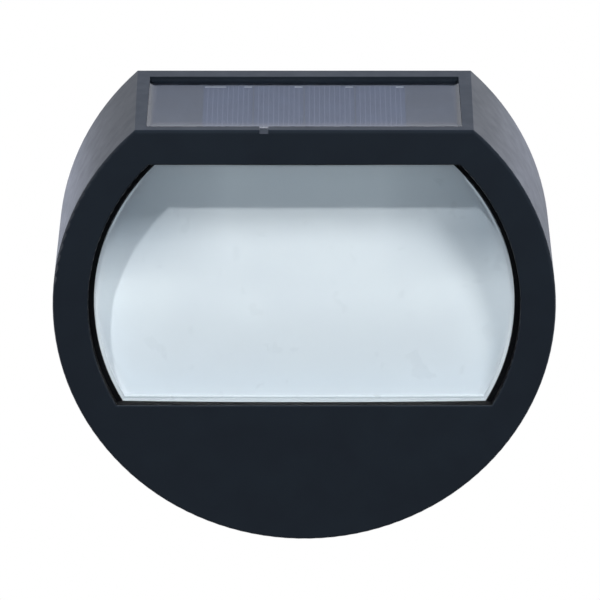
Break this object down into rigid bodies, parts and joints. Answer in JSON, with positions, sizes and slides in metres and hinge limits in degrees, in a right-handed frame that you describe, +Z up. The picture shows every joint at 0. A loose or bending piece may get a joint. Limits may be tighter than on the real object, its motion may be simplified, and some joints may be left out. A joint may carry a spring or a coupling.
{
  "type": "solar fence light",
  "caption": "Round, flat-topped solar fence light with a recessed solar panel on top, a clear window over a white dish, and a screwed back cover with keyholes.",
  "frame": {"origin": "centre of the housing's circle on its flat back, in the plane of the fence", "axes": "+Y out of the back towards the fence, +Z up the fence, +X to the viewer's right from the front"},
  "size_m": [0.13, 0.0494, 0.1135],
  "materials": {
    "black_abs": "moulded ABS, satin, charcoal black",
    "clear_polycarbonate": "clear moulded polycarbonate",
    "clear_adhesive": "cured clear silicone bead",
    "white_abs": "moulded white ABS, half gloss",
    "zinc_steel": "bright zinc-plated steel",
    "white_laminate": "board with white solder mask",
    "phosphor": "lamp package with yellow phosphor",
    "foam_tape": "thin acrylic foam tape",
    "dark_laminate": "laminate with a dark mask",
    "silicon": "polished dark silicon",
    "tinned_copper": "tinned copper ribbon",
    "clear_epoxy": "clear cast epoxy",
    "black_rubber": "soft black silicone",
    "cell_sleeve": "shrink sleeve on a steel can",
    "nickel_steel": "nickel-plated spring steel",
    "green_laminate": "glass-fibre board with green mask",
    "chip_moulding": "moulded epoxy",
    "ferrite": "sintered ferrite",
    "capacitor_can": "aluminium can in a dark sleeve",
    "switch_nylon": "glass-filled nylon",
    "slider_acetal": "grey acetal",
    "red_pvc": "PVC insulation",
    "black_pvc": "PVC insulation"
  },
  "bodies": {
    "light_body": {"front_housing": "black_abs", "lens": "clear_polycarbonate", "lens_bead": "clear_adhesive", "reflector": "white_abs", "reflector_screws": "zinc_steel", "led_board": "white_laminate", "leds": "phosphor", "panel_adhesive": "foam_tape", "panel_substrate": "dark_laminate", "solar_cells": "silicon", "cell_busbars": "tinned_copper", "panel_resin": "clear_epoxy", "lead_grommet": "black_rubber", "back_cover": "black_abs", "cover_gasket": "black_rubber", "cover_screws": "zinc_steel", "battery_cell": "cell_sleeve", "battery_spring": "nickel_steel", "contact_negative": "nickel_steel", "contact_positive": "nickel_steel", "control_board": "green_laminate", "board_screws": "zinc_steel", "driver_chip": "chip_moulding", "inductor": "ferrite", "capacitor": "capacitor_can", "switch_body": "switch_nylon", "switch_seal": "black_rubber", "solar_lead_red": "red_pvc", "solar_lead_black": "black_pvc", "led_lead_red": "red_pvc", "led_lead_black": "black_pvc", "battery_lead_red": "red_pvc", "battery_lead_black": "black_pvc"},
    "door_body": {"battery_door": "black_abs", "door_gasket": "black_rubber", "door_screws": "zinc_steel"},
    "slider_body": {"switch_slider": "slider_acetal"}
  },
  "joints": [
    {"name": "switch_slide", "type": "slide", "parent": "light_body", "child": "slider_body", "axis": [1, 0, 0], "range_m": [0, 0.003]},
    {"name": "door_lift", "type": "slide", "parent": "light_body", "child": "door_body", "axis": [0, 1, 0], "range_m": [0, 0.03]}
  ]
}
